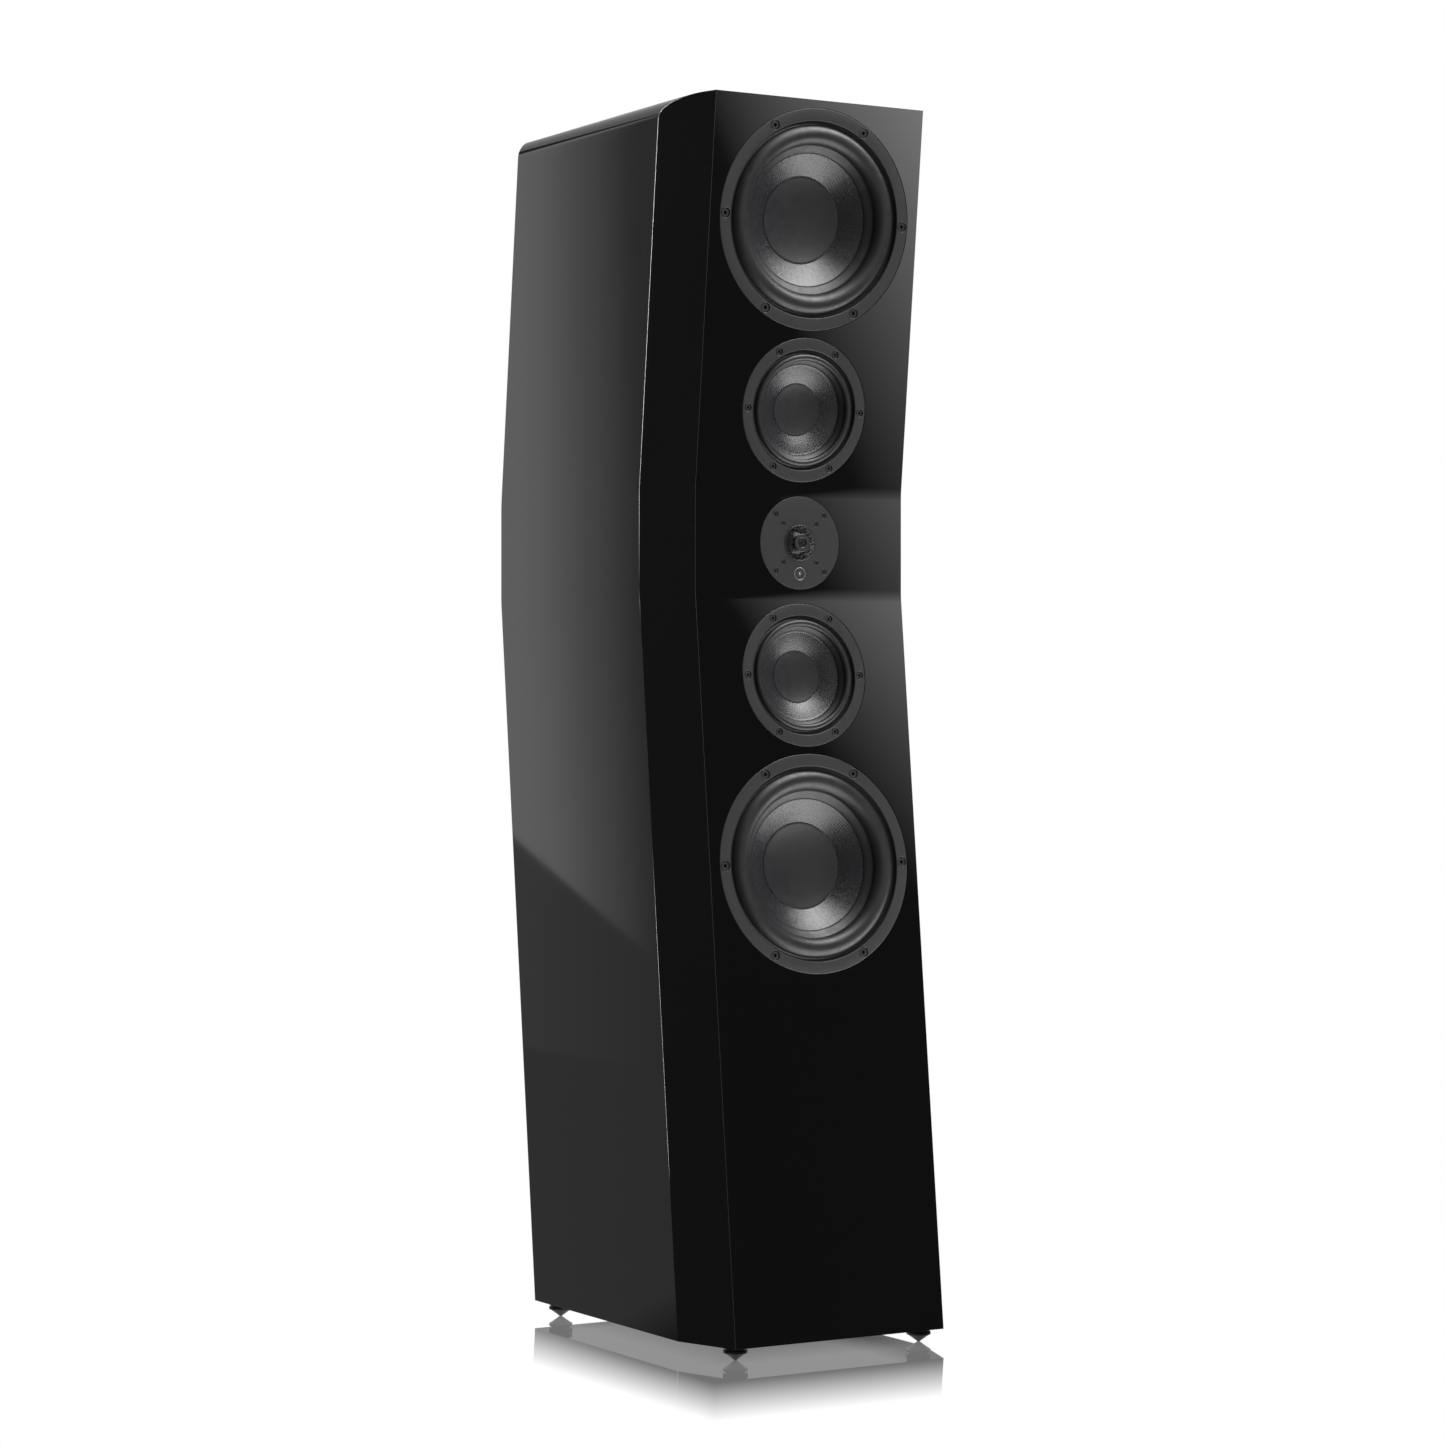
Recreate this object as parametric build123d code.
from build123d import *
import math
import os
from dataclasses import dataclass

# Floorstanding loudspeaker, in millimetres. +Z is up and the baffle faces -Y.
# The origin is on the floor under the middle of the overall box.
# The cabinet keeps one plan outline at every height. The outline slides forwards
# above and below a short vertical facet, so that the baffle has three flat facets.

# ---- Cabinet -----------------------------------------------------------------
TOTAL_HEIGHT = 1271.0
FLOOR_GAP = 15.0            # from the floor to the underside of the cabinet
HALF_WIDTH = 149.0
BAFFLE_HALF_WIDTH = 124.5   # half the width of the flat baffle between its chamfers
CHAMFER_RUN = 72.0          # how far back each chamfer runs to reach the side
DEPTH = 379.5               # from front to back at any one height
LOWER_BEND_Z = 769.0
UPPER_BEND_Z = 875.0
TILT_DEG = 6.0              # lean of the upper and lower facets
TOP_EDGE_RADIUS = 20.0

PANEL_THICKNESS = 22.0
BAFFLE_THICKNESS = 50.0
BOTTOM_THICKNESS = 25.0
BRACE_THICKNESS = 18.0
LINING_THICKNESS = 10.0

TILT = math.radians(TILT_DEG)
TOE = (LOWER_BEND_Z - FLOOR_GAP) * math.tan(TILT)
FACET_Y = TOE - (TOE + DEPTH) / 2
INNER_HALF_WIDTH = HALF_WIDTH - PANEL_THICKNESS
FLOOR_OF_CAVITY = FLOOR_GAP + BOTTOM_THICKNESS
ROOF_OF_CAVITY = TOTAL_HEIGHT - PANEL_THICKNESS
BACK_INNER = DEPTH - PANEL_THICKNESS

# ---- Inner structure ---------------------------------------------------------
TWEETER_Z = 822.0
UPPER_PARTITION_Z = 1026.0
LOWER_PARTITION_Z = 600.0
CHAMBER_DEPTH = 200.0       # from the baffle's face to the midrange chamber's back
CHAMBER_OUTER = CHAMBER_DEPTH + BRACE_THICKNESS
LOW_BRACES_Z = (190.0, 330.0)
REAR_BRACES_Z = (740.0, 900.0)
BRACE_RIM = 32.0
LOOM_X = 80.0
LOOM_DEPTH = 150.0
LOOM_RADIUS = 3.0

# ---- Driver seats, measured along a facet from its bend ------------------------
WOOFER_ALONG_FACET = 277.2
MIDRANGE_ALONG_FACET = 83.2
FIT_GAP = 0.1               # between pieces of the fixed body
SCREWS_PER_DRIVER = 6

# ---- Ports and terminals -------------------------------------------------------
PORT_UPPER_Z = 1100.0
PORT_LOWER_Z = 420.0
PORT_RADIUS = 34.0
PORT_WALL = 3.0
PORT_MOUTH_RADIUS = 46.0
PORT_FLANGE_RADIUS = 60.0
PORT_FLANGE_THICKNESS = 4.0
PORT_FLARE_LENGTH = 26.0
PORT_LENGTH = 140.0

TERMINAL_Z = 165.0
TERMINAL_WIDTH = 150.0
TERMINAL_HEIGHT = 100.0
TERMINAL_THICKNESS = 3.0
TERMINAL_WINDOW_RIM = 15.0
POST_SPACING = 38.0
STUD_RADIUS = 4.0
BANANA_RADIUS = 2.0
BANANA_DEPTH = 18.0
SOCKET_END = 25.9
SLEEVE_RADIUS = 6.0
KNOB_RADIUS = 9.5
THREAD_CLEARANCE = 0.05

# ---- Feet ----------------------------------------------------------------------
FRONT_FOOT = (110.0, -54.5)   # across from the middle, and back from the vertical facet
REAR_FOOT = (130.0, 277.0)
FOOT_RADIUS = 12.5
FOOT_NECK_RADIUS = 10.0
FOOT_TIP_RADIUS = 1.2
SPIKE_HEIGHT = 7.5
FOOT_FLANGE = 3.0
FOOT_NECK = 1.8
FOOT_STUD_RADIUS = 5.0
FOOT_STUD_TOP = 36.0
INSERT_RADIUS = 8.0
INSERT_TOP = 37.0


@dataclass
class Driver:
    """One cone driver. Radii, and depths behind the face of its flange."""

    flange_radius: float
    flange_thickness: float
    ring_radius: float        # inner edge of the visible ring
    roll_radius: float        # outer foot of the surround's half-roll
    roll_depth: float
    crease_radius: float      # inner foot of the half-roll
    crease_depth: float
    roll_crown: float         # height of the half-roll in front of the flange
    band_radius: float        # where the surround's glued lip ends on the cone
    band_depth: float
    cap_radius: float
    cap_depth: float
    cap_sag: float
    cone_thickness: float
    skin: float               # thickness of the surround's rubber
    coil_radius: float
    spider_radius: float
    spider_depth: float
    basket_depth: float
    magnet_radius: float
    plate_thickness: float
    magnet_thickness: float
    yoke_thickness: float
    screw_circle: float
    screw_head_radius: float
    screw_head_height: float
    screw_radius: float
    screw_length: float
    travel: float

    @property
    def ledge_depth(self):
        return self.roll_depth + LIP_STEP + LIP_THICKNESS

    @property
    def neck_radius(self):
        return self.coil_radius + FORMER_THICKNESS

    @property
    def neck_depth(self):
        slope = (self.cap_depth - self.band_depth) / (self.band_radius - self.cap_radius)
        return self.cap_depth + slope * (self.cap_radius - self.neck_radius)

    @property
    def motor_depth(self):
        return self.basket_depth + self.plate_thickness + self.magnet_thickness + self.yoke_thickness


LIP_STEP = 1.0              # from the foot of the half-roll down to its outer lip
LIP_THICKNESS = 1.0
GLUE_GAP = 0.3              # between a part that moves and the soft part that follows it
FORMER_THICKNESS = 0.4
WINDING_THICKNESS = 0.8
SPIDER_THICKNESS = 0.8
COUNTERBORE_GAP = 0.7

WOOFER = Driver(
    flange_radius=112.8, flange_thickness=8.0, ring_radius=100.0,
    roll_radius=96.0, roll_depth=3.6, crease_radius=75.6, crease_depth=7.7, roll_crown=1.5,
    band_radius=67.3, band_depth=12.4, cap_radius=45.2, cap_depth=27.4, cap_sag=7.0,
    cone_thickness=0.9, skin=1.0, coil_radius=25.0, spider_radius=61.0, spider_depth=54.0,
    basket_depth=76.0, magnet_radius=62.0, plate_thickness=8.0, magnet_thickness=24.0,
    yoke_thickness=8.0, screw_circle=106.2, screw_head_radius=4.4, screw_head_height=4.0,
    screw_radius=2.5, screw_length=34.0, travel=7.0,
)
MIDRANGE = Driver(
    flange_radius=73.95, flange_thickness=6.0, ring_radius=61.7,
    roll_radius=57.7, roll_depth=2.9, crease_radius=50.6, crease_depth=3.6, roll_crown=0.6,
    band_radius=46.1, band_depth=7.5, cap_radius=27.6, cap_depth=16.2, cap_sag=4.0,
    cone_thickness=0.6, skin=0.7, coil_radius=16.0, spider_radius=34.0, spider_depth=30.0,
    basket_depth=42.0, magnet_radius=42.0, plate_thickness=6.0, magnet_thickness=15.0,
    yoke_thickness=6.0, screw_circle=67.4, screw_head_radius=3.2, screw_head_height=3.0,
    screw_radius=2.0, screw_length=24.0, travel=2.5,
)

# ---- Tweeter -------------------------------------------------------------------
TWEETER_RADIUS = 47.8
TWEETER_PLATE = 5.0
TWEETER_OPENING = 18.6
TWEETER_SCREWS = ((41.3, 2.9, 20.0), (28.1, 2.2, 7.0))  # circle, head radius, length
TWEETER_SCREW_COUNT = 4
TWEETER_BODY_RADIUS = 33.0
DOME_RADIUS = 12.7
DOME_HEIGHT = 3.6
DOME_BASE = 4.2             # depth of the dome's edge behind the faceplate's face
DOME_THICKNESS = 0.3
PLUG_RADIUS = 9.3
LATTICE_HEIGHT = 4.2
LATTICE_THICKNESS = 1.2


def front_y(z):
    """Y of the baffle's face at height z."""
    below = max(0.0, LOWER_BEND_Z - z)
    above = max(0.0, z - UPPER_BEND_Z)
    return FACET_Y - (below + above) * math.tan(TILT)


def profile(front, back, z_low, z_high):
    """Side outline between two depths behind the baffle's face."""
    heights = [z_low] + [z for z in (LOWER_BEND_Z, UPPER_BEND_Z) if z_low < z < z_high] + [z_high]
    near = [(front_y(z) + front, z) for z in heights]
    far = [(front_y(z) + back, z) for z in reversed(heights)]
    return make_face(Polyline(*near, *far, close=True))


def layer(front, back, x_low, x_high, z_low, z_high):
    """Slab that follows the baffle's facets at a constant depth behind its face."""
    outline = Plane.YZ.offset(x_low) * profile(front, back, z_low, z_high)
    return extrude(outline, x_high - x_low, dir=(1, 0, 0))


def mirrored(shape):
    return shape.mirror(Plane.YZ)


def both_sides(shape):
    return [shape, mirrored(shape)]


def tube(outer, inner, z_low, z_high):
    """Ring about the Z axis."""
    ring = Cylinder(outer, z_high - z_low, align=(Align.CENTER, Align.CENTER, Align.MIN))
    if inner > 0:
        ring -= Cylinder(inner, z_high - z_low, align=(Align.CENTER, Align.CENTER, Align.MIN))
    return Pos(0, 0, z_low) * ring


def turned(points):
    """Solid of revolution about Z from a closed outline of (radius, z) points."""
    outline = Plane.XZ * make_face(Polyline(*points, close=True))
    return revolve(outline, Axis.Z)


def dish(radius, z_edge, z_middle, thickness):
    """Thin spherical dish about Z; the given heights are its lower face."""
    rise = z_middle - z_edge
    sphere = (radius**2 + rise**2) / (2 * rise)
    half = radius / 2
    z_half = z_middle - sphere + math.copysign(math.sqrt(sphere**2 - half**2), rise)
    lower = ThreePointArc((0, z_middle), (half, z_half), (radius, z_edge))
    edge = Line((radius, z_edge), (radius, z_edge + thickness))
    upper = ThreePointArc(
        (radius, z_edge + thickness), (half, z_half + thickness), (0, z_middle + thickness)
    )
    middle = Line((0, z_middle + thickness), (0, z_middle))
    return revolve(Plane.XZ * make_face([lower, edge, upper, middle]), Axis.Z)


def around(count, radius, start_deg=0.0):
    """Places on a circle about Z, turned to face outwards."""
    return [Rot(0, 0, start_deg + k * 360 / count) * Pos(radius, 0, 0) for k in range(count)]


# ---- Seats: Z points out of the cabinet ------------------------------------------
def front_seat(side, along):
    """Seat on a tilted facet: side is +1 above the tweeter and -1 below it."""
    bend = UPPER_BEND_Z if side > 0 else LOWER_BEND_Z
    origin = (0, FACET_Y - along * math.sin(TILT), bend + side * along * math.cos(TILT))
    outward = (0, -math.cos(TILT), -side * math.sin(TILT))
    return Location(Plane(origin, x_dir=(1, 0, 0), z_dir=outward))


def rear_seat(z):
    """Seat on the cabinet's back at height z."""
    lean = math.sin(TILT) if z > UPPER_BEND_Z else -math.sin(TILT)
    outward = (0, math.cos(TILT), lean)
    return Location(Plane((0, front_y(z) + DEPTH, z), x_dir=(-1, 0, 0), z_dir=outward))


TWEETER_SEAT = Location(Plane((0, FACET_Y, TWEETER_Z), x_dir=(1, 0, 0), z_dir=(0, -1, 0)))
DRIVERS = {
    "woofer_upper": (WOOFER, front_seat(1, WOOFER_ALONG_FACET)),
    "woofer_lower": (WOOFER, front_seat(-1, WOOFER_ALONG_FACET)),
    "midrange_upper": (MIDRANGE, front_seat(1, MIDRANGE_ALONG_FACET)),
    "midrange_lower": (MIDRANGE, front_seat(-1, MIDRANGE_ALONG_FACET)),
}
PORT_SEATS = [rear_seat(PORT_UPPER_Z), rear_seat(PORT_LOWER_Z)]
TERMINAL_SEAT = rear_seat(TERMINAL_Z)
FEET = {
    "front_left": (-FRONT_FOOT[0], FACET_Y + FRONT_FOOT[1]),
    "front_right": (FRONT_FOOT[0], FACET_Y + FRONT_FOOT[1]),
    "rear_left": (-REAR_FOOT[0], FACET_Y + REAR_FOOT[1]),
    "rear_right": (REAR_FOOT[0], FACET_Y + REAR_FOOT[1]),
}


# ---- Cabinet ---------------------------------------------------------------------
def chamfer_waste():
    """Wedges in front of the two chamfers. Each follows the baffle's bends."""
    over = 1.3
    side_step = HALF_WIDTH - BAFFLE_HALF_WIDTH
    run = math.hypot(side_step, CHAMFER_RUN) * over
    outline = profile(-2 * CHAMFER_RUN, 0, 0, TOTAL_HEIGHT + FLOOR_GAP)
    face = Plane.YZ.offset(BAFFLE_HALF_WIDTH) * outline
    return both_sides(extrude(face, run, dir=(side_step, CHAMFER_RUN, 0)))


def cabinet_body():
    body = layer(0, DEPTH, -HALF_WIDTH, HALF_WIDTH, FLOOR_GAP, TOTAL_HEIGHT)
    for wedge in chamfer_waste():
        body -= wedge
    gate = Pos(0, TOTAL_HEIGHT / 2) * Rectangle(2 * HALF_WIDTH, TOTAL_HEIGHT)
    top_corners = [v for v in gate.vertices() if v.Y > 0.5 * TOTAL_HEIGHT]
    gate = Plane.XZ * fillet(top_corners, TOP_EDGE_RADIUS)
    return body & extrude(gate, 2 * DEPTH, both=True)


def driver_cutter(d):
    """Room for one cone driver in the baffle: rebate, hole, back relief and screw holes."""
    hole = d.ring_radius + 1
    relief_start = BAFFLE_THICKNESS * 0.6
    relief_end = BAFFLE_THICKNESS + 8
    cutter = tube(d.flange_radius + FIT_GAP, 0, -d.flange_thickness, 10)
    cutter += tube(hole, 0, -relief_end, 0)
    cutter += turned([(0, -relief_start), (hole, -relief_start), (hole + 12, -relief_end), (0, -relief_end)])
    for place in around(SCREWS_PER_DRIVER, d.screw_circle):
        cutter += place * tube(d.screw_radius + FIT_GAP, 0, -d.screw_length - 4, 0)
    return cutter


def tweeter_cutter():
    cutter = tube(TWEETER_RADIUS + FIT_GAP, 0, -TWEETER_PLATE, 10)
    cutter += tube(TWEETER_BODY_RADIUS + 1, 0, -BAFFLE_THICKNESS - 5, 0)
    circle, _, length = TWEETER_SCREWS[0]
    for place in around(TWEETER_SCREW_COUNT, circle, 45):
        cutter += place * tube(1.5 + FIT_GAP, 0, -length - 2, 0)
    return cutter


def front_baffle(body):
    over = 2.0
    low, high = FLOOR_OF_CAVITY, TOTAL_HEIGHT
    blank = layer(-over, BAFFLE_THICKNESS, -INNER_HALF_WIDTH, INNER_HALF_WIDTH, low, high)
    for cheek in both_sides(layer(-over, CHAMFER_RUN, INNER_HALF_WIDTH, HALF_WIDTH, low, high)):
        blank += cheek
    blank &= body
    for d, seat in DRIVERS.values():
        blank -= seat * driver_cutter(d)
    return blank - TWEETER_SEAT * tweeter_cutter()


def side_panel(body):
    low, high = FLOOR_OF_CAVITY, TOTAL_HEIGHT
    return body & layer(CHAMFER_RUN, DEPTH, INNER_HALF_WIDTH, HALF_WIDTH, low, high)


def back_panel():
    low, high = FLOOR_OF_CAVITY, ROOF_OF_CAVITY
    panel = layer(BACK_INNER, DEPTH, -INNER_HALF_WIDTH, INNER_HALF_WIDTH, low, high)
    for seat in PORT_SEATS:
        panel -= seat * tube(PORT_FLANGE_RADIUS + FIT_GAP, 0, -PORT_FLANGE_THICKNESS, 10)
        panel -= seat * tube(PORT_MOUTH_RADIUS + PORT_WALL + FIT_GAP, 0, -2 * PANEL_THICKNESS, 0)
    window = Box(
        TERMINAL_WIDTH - 2 * TERMINAL_WINDOW_RIM,
        TERMINAL_HEIGHT - 2 * TERMINAL_WINDOW_RIM,
        4 * PANEL_THICKNESS,
    )
    panel -= TERMINAL_SEAT * window
    for place in terminal_screw_places():
        hole = tube(TERMINAL_SCREW_RADIUS + FIT_GAP, 0, -TERMINAL_SCREW_LENGTH - 3, 0)
        panel -= TERMINAL_SEAT * place * hole
    return panel


def bottom_panel(body):
    panel = body & layer(0, DEPTH, -HALF_WIDTH, HALF_WIDTH, FLOOR_GAP, FLOOR_OF_CAVITY)
    for x, y in FEET.values():
        panel -= Pos(x, y, 0) * tube(INSERT_RADIUS, 0, 0, INSERT_TOP)
    return panel


def top_panel(body):
    low, high = ROOF_OF_CAVITY, TOTAL_HEIGHT
    return body & layer(BAFFLE_THICKNESS, DEPTH, -INNER_HALF_WIDTH, INNER_HALF_WIDTH, low, high)


# ---- Inner structure ---------------------------------------------------------------
def loom_hole(z):
    y = FACET_Y + LOOM_DEPTH
    return Pos(LOOM_X, y, z) * Cylinder(LOOM_RADIUS + FIT_GAP, 4 * BRACE_THICKNESS)


def chamber_partitions():
    """Shelves above and below the chamber that holds the midrange drivers and the tweeter."""
    shelves = []
    for z in (LOWER_PARTITION_Z, UPPER_PARTITION_Z):
        shelf = layer(
            BAFFLE_THICKNESS, CHAMBER_OUTER, -INNER_HALF_WIDTH, INNER_HALF_WIDTH, z, z + BRACE_THICKNESS
        )
        shelves.append(shelf - loom_hole(z))
    return shelves


def midrange_chamber_back():
    return layer(
        CHAMBER_DEPTH,
        CHAMBER_OUTER,
        -INNER_HALF_WIDTH,
        INNER_HALF_WIDTH,
        LOWER_PARTITION_Z + BRACE_THICKNESS,
        UPPER_PARTITION_Z,
    )


def window_brace(front, back, z):
    """Horizontal frame with an open middle."""
    inner = INNER_HALF_WIDTH - BRACE_RIM
    plate = layer(front, back, -INNER_HALF_WIDTH, INNER_HALF_WIDTH, z, z + BRACE_THICKNESS)
    window = layer(front + BRACE_RIM, back - BRACE_RIM, -inner, inner, z - 1, z + BRACE_THICKNESS + 1)
    return plate - window


def window_braces():
    low = [window_brace(BAFFLE_THICKNESS, BACK_INNER, z) for z in LOW_BRACES_Z]
    rear = [window_brace(CHAMBER_OUTER, BACK_INNER, z) for z in REAR_BRACES_Z]
    return low + rear


def damping_lining():
    """Felt on the side walls, cut to lie between the braces."""
    margin = 10.0
    inner = INNER_HALF_WIDTH - LINING_THICKNESS
    shelf = BRACE_THICKNESS
    chamber_low = LOWER_PARTITION_Z + shelf
    bays = [
        (BAFFLE_THICKNESS, BACK_INNER, FLOOR_OF_CAVITY, LOW_BRACES_Z[0]),
        (BAFFLE_THICKNESS, BACK_INNER, LOW_BRACES_Z[0] + shelf, LOW_BRACES_Z[1]),
        (BAFFLE_THICKNESS, BACK_INNER, LOW_BRACES_Z[1] + shelf, LOWER_PARTITION_Z),
        (BAFFLE_THICKNESS, CHAMBER_DEPTH, chamber_low, UPPER_PARTITION_Z),
        (BAFFLE_THICKNESS, BACK_INNER, UPPER_PARTITION_Z + shelf, ROOF_OF_CAVITY),
    ]
    mats = []
    for front, back, low, high in bays:
        mat = layer(front + margin, back - margin, inner, INNER_HALF_WIDTH, low + margin, high - margin)
        mats += both_sides(mat)
    return mats


BOARD_SIZE = (180.0, 140.0, 2.0)
BOARD_GAP = 8.0
BOARD_CENTRE = (0.0, FACET_Y + 160.0)


BOARD_LEG_RADIUS = 4.0
BOARD_LEG_INSET = 10.0
COILS = ((-55, -30, 26), (-5, 32, 30), (55, 30, 22))  # place on the board and radius
COIL_HEIGHT = 24.0
CAPACITOR_RADIUS, CAPACITOR_LENGTH = 11.0, 46.0
CAPACITOR_PLACES = ((2, -38), (28, -38), (54, -38))
RESISTOR_SIZE = (10.0, 40.0, 9.0)
RESISTOR_PLACES = ((-68, 34), (-52, 34))


def crossover_board():
    low = FLOOR_OF_CAVITY + BOARD_GAP
    centre = Pos(*BOARD_CENTRE, 0)
    board = centre * Pos(0, 0, low) * Box(*BOARD_SIZE, align=(Align.CENTER, Align.CENTER, Align.MIN))
    x = BOARD_SIZE[0] / 2 - BOARD_LEG_INSET
    y = BOARD_SIZE[1] / 2 - BOARD_LEG_INSET
    for place in [Pos(a * x, b * y, 0) for a in (-1, 1) for b in (-1, 1)]:
        board += centre * place * tube(BOARD_LEG_RADIUS, 0, FLOOR_OF_CAVITY, low)
    return board


def crossover_parts():
    """Air-core coils, capacitors and power resistors on the board."""
    origin = Pos(*BOARD_CENTRE, FLOOR_OF_CAVITY + BOARD_GAP + BOARD_SIZE[2])
    can = Cylinder(CAPACITOR_RADIUS, CAPACITOR_LENGTH, rotation=(90, 0, 0))
    resistor = Box(*RESISTOR_SIZE, align=(Align.CENTER, Align.CENTER, Align.MIN))
    parts = [origin * Pos(x, y, 0) * tube(r, 0.4 * r, 0, COIL_HEIGHT) for x, y, r in COILS]
    parts += [origin * Pos(x, y, CAPACITOR_RADIUS) * can for x, y in CAPACITOR_PLACES]
    parts += [origin * Pos(x, y, 0) * resistor for x, y in RESISTOR_PLACES]
    return parts


def wire(points, radius):
    """Round wire with square turns."""
    run = None
    for start, end in zip(points, points[1:]):
        a, b = Vector(*start), Vector(*end)
        piece = Plane(a, z_dir=b - a) * Cylinder(
            radius, (b - a).length, align=(Align.CENTER, Align.CENTER, Align.MIN)
        )
        piece += Pos(*end) * Sphere(radius)
        run = piece if run is None else run + piece
    return run


def wiring_loom():
    """One riser with a branch to the back of each driver, and two leads to the terminals."""
    y = FACET_Y + LOOM_DEPTH
    board_top = FLOOR_OF_CAVITY + BOARD_GAP + BOARD_SIZE[2]
    end_gap = LOOM_RADIUS + 1
    woofer_z = DRIVERS["woofer_upper"][1].position.Z
    loom = wire([(LOOM_X, y, board_top), (LOOM_X, y, woofer_z)], LOOM_RADIUS)
    for d, seat in DRIVERS.values():
        back = (seat * Pos(0.6 * d.coil_radius, 0, -d.motor_depth - end_gap)).position
        branch = [(LOOM_X, y, back.Z), (back.X, y, back.Z), (back.X, back.Y, back.Z)]
        loom += wire(branch, LOOM_RADIUS)
    tweeter_back = FACET_Y + TWEETER_DEPTH + end_gap
    loom += wire([(LOOM_X, y, TWEETER_Z), (0, y, TWEETER_Z), (0, tweeter_back, TWEETER_Z)], LOOM_RADIUS)
    leads = [loom]
    for x in (-POST_SPACING / 2, POST_SPACING / 2):
        stud = (TERMINAL_SEAT * Pos(-x, 0, STUD_TAIL - end_gap)).position
        foot_y = BOARD_CENTRE[1] + BOARD_SIZE[1] / 2 - 4
        route = [(x, foot_y, board_top), (x, foot_y, stud.Z), (x, stud.Y, stud.Z)]
        leads.append(wire(route, LOOM_RADIUS))
    return leads


# ---- Cone drivers ---------------------------------------------------------------------
def basket(d):
    """Cast frame: mounting flange, six spokes, spider seat and motor seat."""
    ledge_inner = d.roll_radius - 7 * d.flange_thickness / 8
    seat_inner = d.spider_radius - 5
    floor_thickness = 4.0
    frame = turned([
        (d.flange_radius, 0),
        (d.ring_radius, 0),
        (d.ring_radius, -d.ledge_depth),
        (ledge_inner, -d.ledge_depth),
        (ledge_inner, -d.flange_thickness),
        (d.spider_radius + 0.5, -d.spider_depth),
        (seat_inner, -d.spider_depth),
        (seat_inner, -d.basket_depth + floor_thickness),
        (d.coil_radius + 6, -d.basket_depth + floor_thickness),
        (d.coil_radius + 6, -d.basket_depth),
        (d.spider_radius - 1, -d.basket_depth),
        (d.spider_radius + 4, -d.spider_depth - 2),
        (d.ring_radius - 1, -d.flange_thickness),
        (d.flange_radius, -d.flange_thickness),
    ])
    middle = (d.roll_radius + d.spider_radius) / 2
    window_height = 0.66 * (d.spider_depth - d.flange_thickness)
    window = Box(middle, 0.62 * middle, window_height)
    z = -(d.spider_depth + d.flange_thickness) / 2
    for place in around(SCREWS_PER_DRIVER, middle, 30):
        frame -= place * Pos(0, 0, z) * window
    for place in around(SCREWS_PER_DRIVER, d.screw_circle):
        head_room = d.screw_head_height + COUNTERBORE_GAP
        frame -= place * tube(d.screw_head_radius + COUNTERBORE_GAP, 0, -head_room, 1)
        frame -= place * tube(d.screw_radius + FIT_GAP, 0, -d.flange_thickness - 1, 0)
    return frame


def surround(d):
    """Rubber half-roll with an outer lip on the basket and an inner lip over the cone."""
    lip_top = -d.roll_depth - LIP_STEP
    middle = (d.roll_radius + d.crease_radius) / 2
    skin = d.skin
    top = [
        Line((d.ring_radius - FIT_GAP, lip_top), (d.roll_radius, lip_top)),
        Line((d.roll_radius, lip_top), (d.roll_radius, -d.roll_depth)),
        ThreePointArc(
            (d.roll_radius, -d.roll_depth),
            (middle, d.roll_crown),
            (d.crease_radius, -d.crease_depth),
        ),
        Line((d.crease_radius, -d.crease_depth), (d.band_radius, -d.band_depth)),
        Line((d.band_radius, -d.band_depth), (d.band_radius, -d.band_depth - skin)),
        Line((d.band_radius, -d.band_depth - skin), (d.crease_radius + skin, -d.crease_depth - skin)),
        ThreePointArc(
            (d.crease_radius + skin, -d.crease_depth - skin),
            (middle, d.roll_crown - skin),
            (d.roll_radius - skin, lip_top - LIP_THICKNESS),
        ),
        Polyline(
            (d.roll_radius - skin, lip_top - LIP_THICKNESS),
            (d.ring_radius - FIT_GAP, lip_top - LIP_THICKNESS),
            (d.ring_radius - FIT_GAP, lip_top),
        ),
    ]
    return revolve(Plane.XZ * make_face(top), Axis.Z)


def cone(d):
    """Straight-sided cone whose outer edge lies under the surround's inner lip."""
    t = d.cone_thickness
    edge_radius = d.crease_radius - 1
    lip_slope = (d.band_depth - d.crease_depth) / (d.crease_radius + d.skin - d.band_radius)
    band_z = -d.band_depth - d.skin - GLUE_GAP
    edge_z = band_z + (edge_radius - d.band_radius) * lip_slope
    return turned([
        (edge_radius, edge_z),
        (d.band_radius, band_z),
        (d.cap_radius, -d.cap_depth),
        (d.neck_radius, -d.neck_depth),
        (d.neck_radius, -d.neck_depth - 2 * t),
        (d.cap_radius, -d.cap_depth - t),
        (d.band_radius, band_z - t),
        (edge_radius, edge_z - t),
    ])


def dust_cap(d):
    return dish(d.cap_radius, -d.cap_depth, -d.cap_depth - d.cap_sag, d.cone_thickness)


def voice_coil(d):
    """Former with its winding centred in the motor's gap."""
    gap_middle = -d.basket_depth - d.plate_thickness / 2
    half_winding = d.plate_thickness / 2 + d.travel - 1
    coil = tube(d.neck_radius, d.coil_radius, gap_middle - half_winding - 1, -d.neck_depth)
    coil += tube(
        d.neck_radius + WINDING_THICKNESS, d.coil_radius, gap_middle - half_winding, gap_middle + half_winding
    )
    return coil


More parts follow.
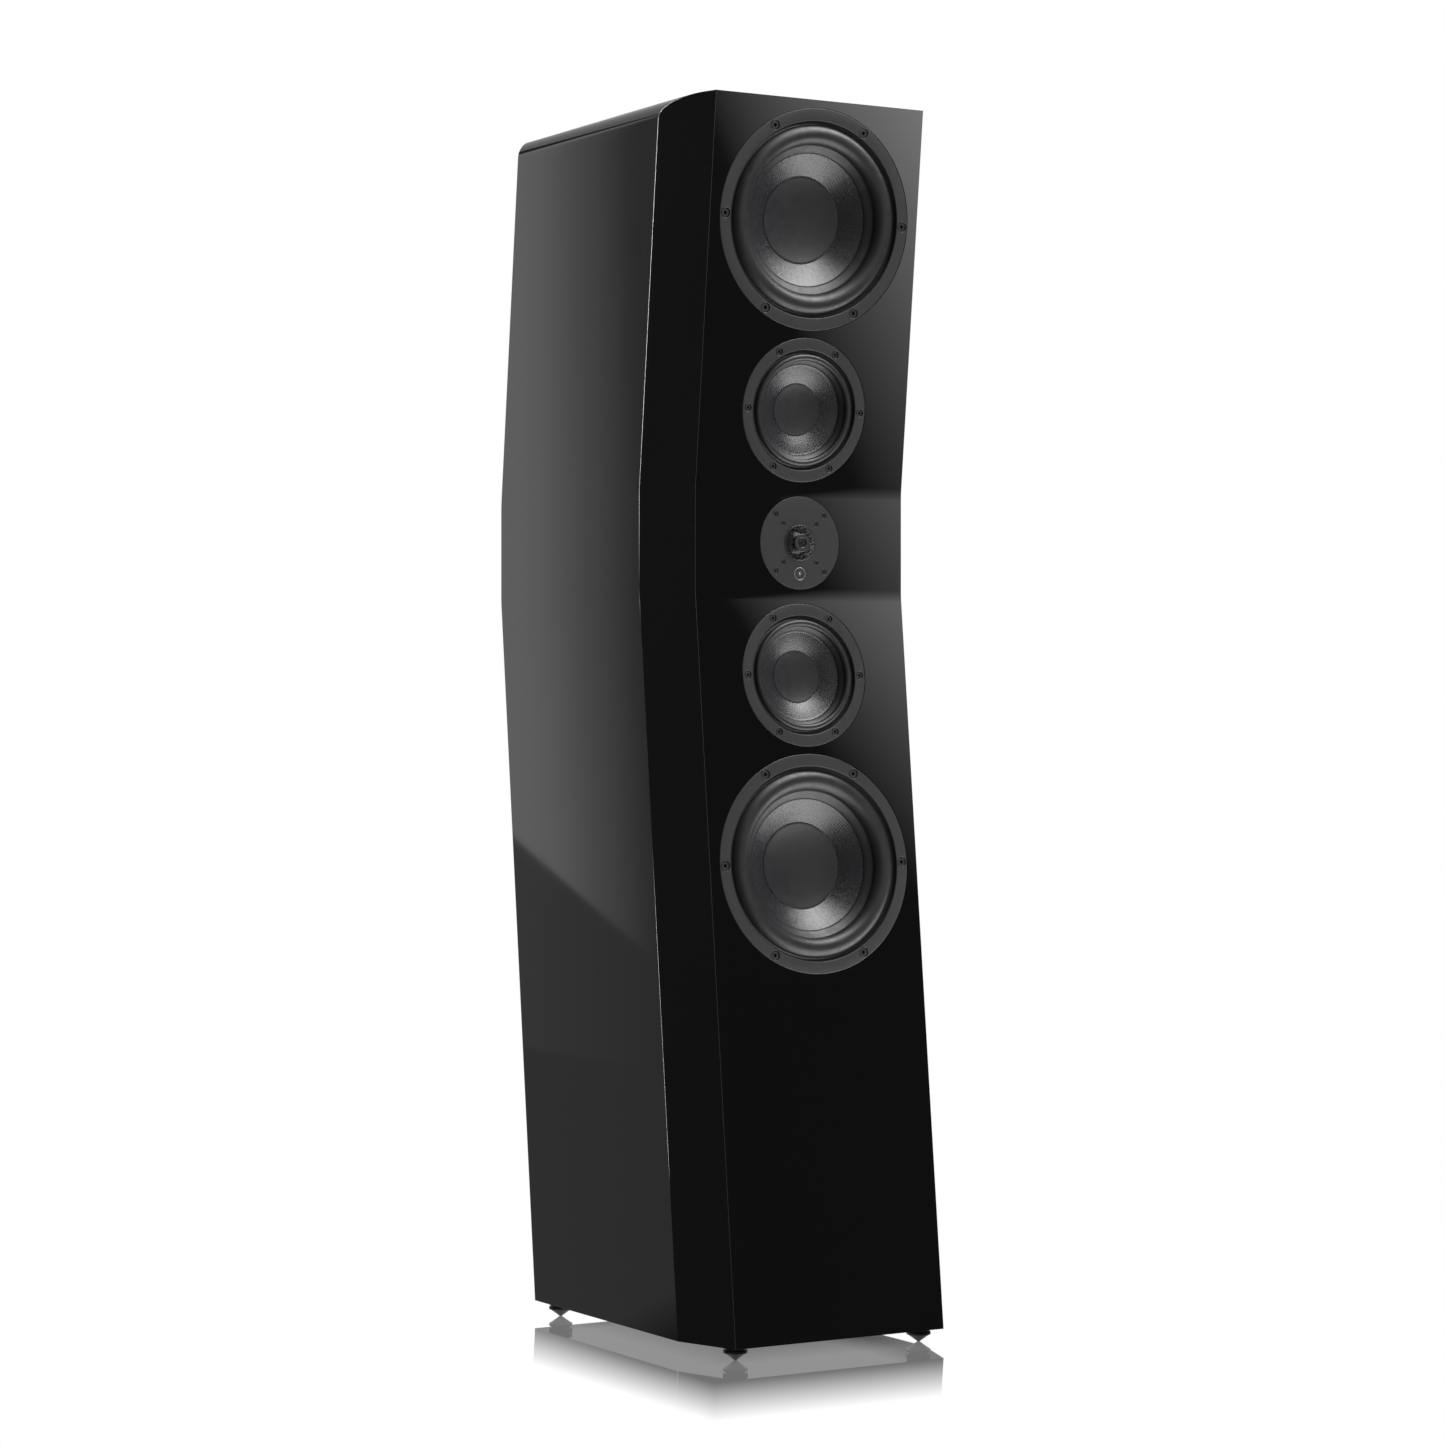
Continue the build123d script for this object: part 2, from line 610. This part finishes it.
def spider(d):
    """Corrugated fabric disc from the basket's seat to the voice coil."""
    inner = d.neck_radius + GLUE_GAP
    seat_width = 4.0
    waves = 6
    z = -d.spider_depth
    step = (d.spider_radius - seat_width - inner - 2) / (2 * waves)
    rise = 1.6
    top = [(inner, z + rise), (inner + 2, z + rise)]
    for k in range(1, 2 * waves):
        top.append((inner + 2 + k * step, z + (rise + 1.4 if k % 2 else rise - 1.4)))
    top += [(d.spider_radius - seat_width, z + SPIDER_THICKNESS), (d.spider_radius, z + SPIDER_THICKNESS)]
    bottom = [(r, h - SPIDER_THICKNESS) for r, h in reversed(top)]
    return turned(top + bottom)


def top_plate(d):
    return tube(
        d.magnet_radius - 2, d.coil_radius + 2.2, -d.basket_depth - d.plate_thickness, -d.basket_depth
    )


def magnet(d):
    top = -d.basket_depth - d.plate_thickness
    return tube(d.magnet_radius, d.coil_radius + 8, top - d.magnet_thickness, top)


def yoke(d):
    """Back plate with its vented centre pole."""
    back = -d.motor_depth
    body = tube(d.magnet_radius - 2, 0, back, back + d.yoke_thickness)
    body += tube(d.coil_radius - 0.6, 0, back, -d.basket_depth + 2)
    return body - tube(0.25 * d.coil_radius, 0, back - 1, 0)


def socket_screw(head_radius, head_height, shank_radius, length, sink):
    """Socket-head screw with the top of its head sunk below the face."""
    screw = tube(head_radius, 0, -sink - head_height, -sink)
    screw += tube(shank_radius, 0, -sink - length, -sink - head_height)
    socket = extrude(RegularPolygon(0.5 * head_radius, 6), 0.6 * head_height)
    return screw - Pos(0, 0, -sink - 0.6 * head_height) * socket


def driver_screws():
    screws = []
    for d, seat in DRIVERS.values():
        head = (d.screw_head_radius, d.screw_head_height)
        screw = socket_screw(*head, d.screw_radius, d.screw_length, COUNTERBORE_GAP)
        screws += [seat * place * screw for place in around(SCREWS_PER_DRIVER, d.screw_circle)]
    for circle, head, length in TWEETER_SCREWS:
        screw = socket_screw(head, 2.0, 0.5 * head, length, 0.4)
        screws += [TWEETER_SEAT * place * screw for place in around(TWEETER_SCREW_COUNT, circle, 45)]
    return screws


# ---- Tweeter ----------------------------------------------------------------------------
RING_PLATE = 5.0            # thickness of the tweeter motor's front ring
MAGNET_RING = 8.0
REAR_CAN = 40.0
TWEETER_DEPTH = TWEETER_PLATE + RING_PLATE + MAGNET_RING + REAR_CAN


def tweeter_faceplate():
    plate = tube(TWEETER_RADIUS, TWEETER_OPENING, -TWEETER_PLATE, 0)
    for circle, head, _ in TWEETER_SCREWS:
        for place in around(TWEETER_SCREW_COUNT, circle, 45):
            plate -= place * tube(head + 0.3, 0, -2.4, 1)
            plate -= place * tube(0.5 * head + FIT_GAP, 0, -TWEETER_PLATE - 1, 0)
    return plate


def tweeter_lattice():
    """Domed guard with two rows of cells and a smooth plug in the middle."""
    radius = TWEETER_OPENING - FIT_GAP
    guard = dish(radius, -0.8, -0.8 + LATTICE_HEIGHT, LATTICE_THICKNESS)
    cells = ((14, 11.9, 1.9), (20, 16.0, 1.7))
    for count, circle, cell in cells:
        for place in around(count, circle, 180 / count):
            guard -= place * tube(cell, 0, -10, 10)
    plug_top = LATTICE_HEIGHT + 0.9
    return guard + tube(PLUG_RADIUS, PLUG_RADIUS - 1.5, 2.6, plug_top) + dish(
        PLUG_RADIUS, LATTICE_HEIGHT - 1.0, LATTICE_HEIGHT - 0.4, LATTICE_THICKNESS
    )


def tweeter_surround():
    """Soft roll between the dome and the motor's front ring."""
    foot = -TWEETER_PLATE
    return turned([
        (DOME_RADIUS + GLUE_GAP, foot + 0.5),
        (DOME_RADIUS + 1.6, foot + 1.5),
        (DOME_RADIUS + 3.2, foot + 0.5),
        (TWEETER_OPENING - 0.4, foot + 0.5),
        (TWEETER_OPENING - 0.4, foot),
        (DOME_RADIUS + 3.0, foot),
        (DOME_RADIUS + 1.6, foot + 1.0),
        (DOME_RADIUS + GLUE_GAP, foot + 0.1),
    ])


def tweeter_dome():
    return dish(DOME_RADIUS, -DOME_BASE - DOME_THICKNESS, -DOME_BASE + DOME_HEIGHT, DOME_THICKNESS)


def tweeter_voice_coil():
    top = -DOME_BASE - DOME_THICKNESS
    former = tube(DOME_RADIUS, DOME_RADIUS - 0.2, top - 7.5, top)
    return former + tube(DOME_RADIUS + 0.4, DOME_RADIUS, top - 7.0, top - 3.2)


def tweeter_motor():
    """Front ring, magnet ring and pole piece."""
    front = -TWEETER_PLATE
    ring = tube(TWEETER_BODY_RADIUS - 1, DOME_RADIUS + 0.9, front - RING_PLATE, front)
    for place in around(TWEETER_SCREW_COUNT, TWEETER_SCREWS[1][0], 45):
        ring -= place * tube(0.5 * TWEETER_SCREWS[1][1] + FIT_GAP, 0, front - 3, 1)
    magnet_low = front - RING_PLATE - MAGNET_RING
    ring += tube(TWEETER_BODY_RADIUS - 1, DOME_RADIUS + 6, magnet_low, front - RING_PLATE)
    ring += tube(TWEETER_BODY_RADIUS - 1, 0, magnet_low, magnet_low + 3)
    return ring + tube(DOME_RADIUS - 0.8, 0, magnet_low, front - 0.6)


def tweeter_rear_chamber():
    top = -TWEETER_DEPTH + REAR_CAN
    can = tube(TWEETER_BODY_RADIUS, 0, -TWEETER_DEPTH, top)
    return can - tube(TWEETER_BODY_RADIUS - 2, 0, -TWEETER_DEPTH + 2, top)


# ---- Ports and terminals --------------------------------------------------------------------
def port_tube():
    """Flared tube; its flange sits flush in the back panel."""
    mouth = (PORT_MOUTH_RADIUS, 0)
    throat = (PORT_RADIUS, -PORT_FLARE_LENGTH)
    bulge = (PORT_RADIUS + 3.4, -0.36 * PORT_FLARE_LENGTH)
    outer = PORT_RADIUS + PORT_WALL
    shell = PORT_MOUTH_RADIUS + PORT_WALL
    outline = [
        ThreePointArc(mouth, bulge, throat),
        Polyline(
            throat,
            (PORT_RADIUS, -PORT_LENGTH),
            (outer, -PORT_LENGTH),
            (outer, -PORT_FLARE_LENGTH - 6),
            (shell, -PANEL_THICKNESS + 6),
            (shell, -PORT_FLANGE_THICKNESS),
            (PORT_FLANGE_RADIUS, -PORT_FLANGE_THICKNESS),
            (PORT_FLANGE_RADIUS, 0),
            mouth,
        ),
    ]
    return revolve(Plane.XZ * make_face(outline), Axis.Z)


STUD_TAIL = -20.0
STUD_TOP = SOCKET_END - BANANA_DEPTH
COLLAR_RADIUS = 9.0
COLLAR_TOP = 7.0
LOCK_NUT_RADIUS = 7.5
LOCK_NUT_HEIGHT = 6.0
TERMINAL_SCREW_RADIUS = 2.0
TERMINAL_SCREW_LENGTH = 15.0
TERMINAL_HEAD_RADIUS = 3.8
TERMINAL_HEAD_HEIGHT = 2.4
TERMINAL_HEX_RADIUS = 1.6
TERMINAL_CORNER_RADIUS = 8.0
SLEEVE_LOW = 8.0
SLEEVE_HIGH = 26.2
KNOB_HIGH = 29.5


def post_places():
    """Seats of the positive and negative posts."""
    return {
        "positive": TERMINAL_SEAT * Pos(POST_SPACING / 2, 0, 0),
        "negative": TERMINAL_SEAT * Pos(-POST_SPACING / 2, 0, 0),
    }


def terminal_screw_places():
    x = TERMINAL_WIDTH / 2 - TERMINAL_WINDOW_RIM / 2
    y = TERMINAL_HEIGHT / 2 - TERMINAL_WINDOW_RIM / 2
    return [Pos(a * x, b * y, 0) for a in (-1, 1) for b in (-1, 1)]


def terminal_plate():
    blank = RectangleRounded(TERMINAL_WIDTH, TERMINAL_HEIGHT, TERMINAL_CORNER_RADIUS)
    plate = extrude(blank, TERMINAL_THICKNESS)
    for x in (-POST_SPACING / 2, POST_SPACING / 2):
        plate -= Pos(x, 0, 0) * tube(STUD_RADIUS + FIT_GAP, 0, -1, TERMINAL_THICKNESS + 1)
    for place in terminal_screw_places():
        plate -= place * tube(TERMINAL_SCREW_RADIUS + FIT_GAP, 0, -1, TERMINAL_THICKNESS + 1)
    return plate


def terminal_screws():
    head_top = TERMINAL_THICKNESS + TERMINAL_HEAD_HEIGHT
    screw = tube(TERMINAL_HEAD_RADIUS, 0, TERMINAL_THICKNESS, head_top)
    screw += tube(TERMINAL_SCREW_RADIUS, 0, -TERMINAL_SCREW_LENGTH, TERMINAL_THICKNESS)
    socket = extrude(RegularPolygon(TERMINAL_HEX_RADIUS, 6), TERMINAL_HEAD_HEIGHT)
    screw -= Pos(0, 0, head_top - TERMINAL_HEAD_HEIGHT / 2) * socket
    return [TERMINAL_SEAT * place * screw for place in terminal_screw_places()]


def post_stud():
    """Stud through the plate, with its collar and its lock nut."""
    stud = tube(STUD_RADIUS, 0, STUD_TAIL, STUD_TOP)
    stud += tube(COLLAR_RADIUS, 0, TERMINAL_THICKNESS, COLLAR_TOP)
    return stud + Pos(0, 0, -LOCK_NUT_HEIGHT) * extrude(RegularPolygon(LOCK_NUT_RADIUS, 6), LOCK_NUT_HEIGHT)


def post_socket():
    """Barrel on the end of the stud that takes a banana plug."""
    return tube(STUD_RADIUS, BANANA_RADIUS, STUD_TOP, SOCKET_END)


def post_sleeve():
    return tube(SLEEVE_RADIUS, STUD_RADIUS + THREAD_CLEARANCE, SLEEVE_LOW, SLEEVE_HIGH)


def post_knob():
    """Eight-sided clamping knob, open at its end for the plug."""
    knob = Pos(0, 0, SLEEVE_LOW) * extrude(RegularPolygon(KNOB_RADIUS, 8), KNOB_HIGH - SLEEVE_LOW)
    return knob - tube(SLEEVE_RADIUS + THREAD_CLEARANCE, 0, SLEEVE_LOW - 1, KNOB_HIGH + 1)


# ---- Feet ---------------------------------------------------------------------------------------
def foot_spike():
    """Turned foot: cone, flange, neck and threaded stud."""
    flange_top = SPIKE_HEIGHT + FOOT_FLANGE
    neck_top = flange_top + FOOT_NECK
    return turned([
        (0, 0),
        (FOOT_TIP_RADIUS, 0),
        (FOOT_RADIUS - 1, SPIKE_HEIGHT),
        (FOOT_RADIUS, SPIKE_HEIGHT),
        (FOOT_RADIUS, flange_top),
        (FOOT_NECK_RADIUS, flange_top),
        (FOOT_NECK_RADIUS, neck_top),
        (FOOT_STUD_RADIUS, neck_top),
        (FOOT_STUD_RADIUS, FOOT_STUD_TOP),
        (0, FOOT_STUD_TOP),
    ])


def foot_lock_ring():
    low = SPIKE_HEIGHT + FOOT_FLANGE + FOOT_NECK
    return tube(FOOT_RADIUS, FOOT_STUD_RADIUS + THREAD_CLEARANCE, low, FLOOR_GAP)


def foot_insert():
    return tube(INSERT_RADIUS, FOOT_STUD_RADIUS + THREAD_CLEARANCE, FLOOR_GAP, INSERT_TOP)


def at_feet(shape):
    return [Pos(x, y, 0) * shape for x, y in FEET.values()]


# ---- Assembly --------------------------------------------------------------------------------------
def cabinet_nodes():
    body = cabinet_body()
    right = side_panel(body)
    return {
        "front_baffle": [front_baffle(body)],
        "right_side_panel": [right],
        "left_side_panel": [mirrored(right)],
        "top_panel": [top_panel(body)],
        "bottom_panel": [bottom_panel(body)],
        "back_panel": [back_panel()],
        "window_braces": window_braces(),
        "chamber_partitions": chamber_partitions(),
        "midrange_chamber_back": [midrange_chamber_back()],
        "damping_lining": damping_lining(),
        "crossover_board": [crossover_board()],
        "crossover_parts": crossover_parts(),
        "wiring_loom": wiring_loom(),
    }


def driver_nodes():
    nodes = {}
    for name, (d, seat) in DRIVERS.items():
        nodes[f"{name}_basket"] = [seat * basket(d)]
        nodes[f"{name}_surround"] = [seat * surround(d)]
        nodes[f"{name}_cone"] = [seat * cone(d)]
        nodes[f"{name}_dust_cap"] = [seat * dust_cap(d)]
        nodes[f"{name}_voice_coil"] = [seat * voice_coil(d)]
    shared = {
        "driver_spiders": spider,
        "driver_top_plates": top_plate,
        "driver_magnets": magnet,
        "driver_yokes": yoke,
    }
    for node, make in shared.items():
        nodes[node] = [seat * make(d) for d, seat in DRIVERS.values()]
    nodes["driver_screws"] = driver_screws()
    return nodes


def tweeter_nodes():
    makers = (
        tweeter_faceplate,
        tweeter_lattice,
        tweeter_surround,
        tweeter_dome,
        tweeter_voice_coil,
        tweeter_motor,
        tweeter_rear_chamber,
    )
    return {make.__name__: [TWEETER_SEAT * make()] for make in makers}


def rear_nodes():
    nodes = {
        "port_tubes": [seat * port_tube() for seat in PORT_SEATS],
        "terminal_plate": [TERMINAL_SEAT * terminal_plate()],
        "terminal_screws": terminal_screws(),
        "binding_post_studs": [place * post_stud() for place in post_places().values()],
        "binding_post_sockets": [place * post_socket() for place in post_places().values()],
    }
    for sign, place in post_places().items():
        nodes[f"post_sleeve_{sign}"] = [place * post_sleeve()]
        nodes[f"post_knob_{sign}"] = [place * post_knob()]
    return nodes


def foot_nodes():
    nodes = {
        "foot_inserts": at_feet(foot_insert()),
        "foot_lock_rings": at_feet(foot_lock_ring()),
    }
    for corner, (x, y) in FEET.items():
        nodes[f"foot_{corner}"] = [Pos(x, y, 0) * foot_spike()]
    return nodes


def main():
    os.makedirs("parts", exist_ok=True)
    nodes = cabinet_nodes() | driver_nodes() | tweeter_nodes() | rear_nodes() | foot_nodes()
    for name, shapes in nodes.items():
        solids = [solid for shape in shapes for solid in shape.solids()]
        export_step(solids[0] if len(solids) == 1 else Compound(children=solids), f"parts/{name}.step")


main()
